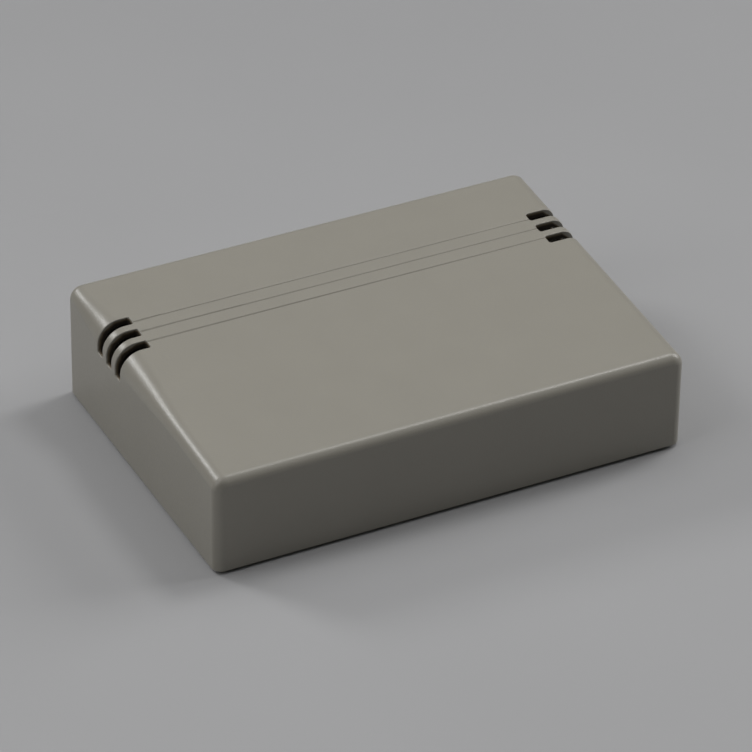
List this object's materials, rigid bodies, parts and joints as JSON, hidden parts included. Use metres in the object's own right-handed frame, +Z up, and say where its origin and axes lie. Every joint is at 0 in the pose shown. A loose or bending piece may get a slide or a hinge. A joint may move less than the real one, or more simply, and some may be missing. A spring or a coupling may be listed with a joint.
{
  "type": "plastic project box",
  "caption": "Sloped-top moulded plastic enclosure with vent slots that wrap over the side edges, fine grooves across the top and a screwed base plate.",
  "frame": {"origin": "middle of the footprint, on the surface that the base plate stands on", "axes": "+Z up, +X to the right along the front, +Y from the low front face to the high back face"},
  "size_m": [0.158, 0.108, 0.0398],
  "materials": {
    "cover_plastic": "fine satin texture, warm grey moulded ABS",
    "base_plastic": "fine satin texture, warm grey moulded ABS",
    "screw_steel": "bright zinc plate"
  },
  "bodies": {
    "root": {"cover": "cover_plastic", "base_plate": "base_plastic", "cover_screws": "screw_steel"}
  },
  "joints": []
}
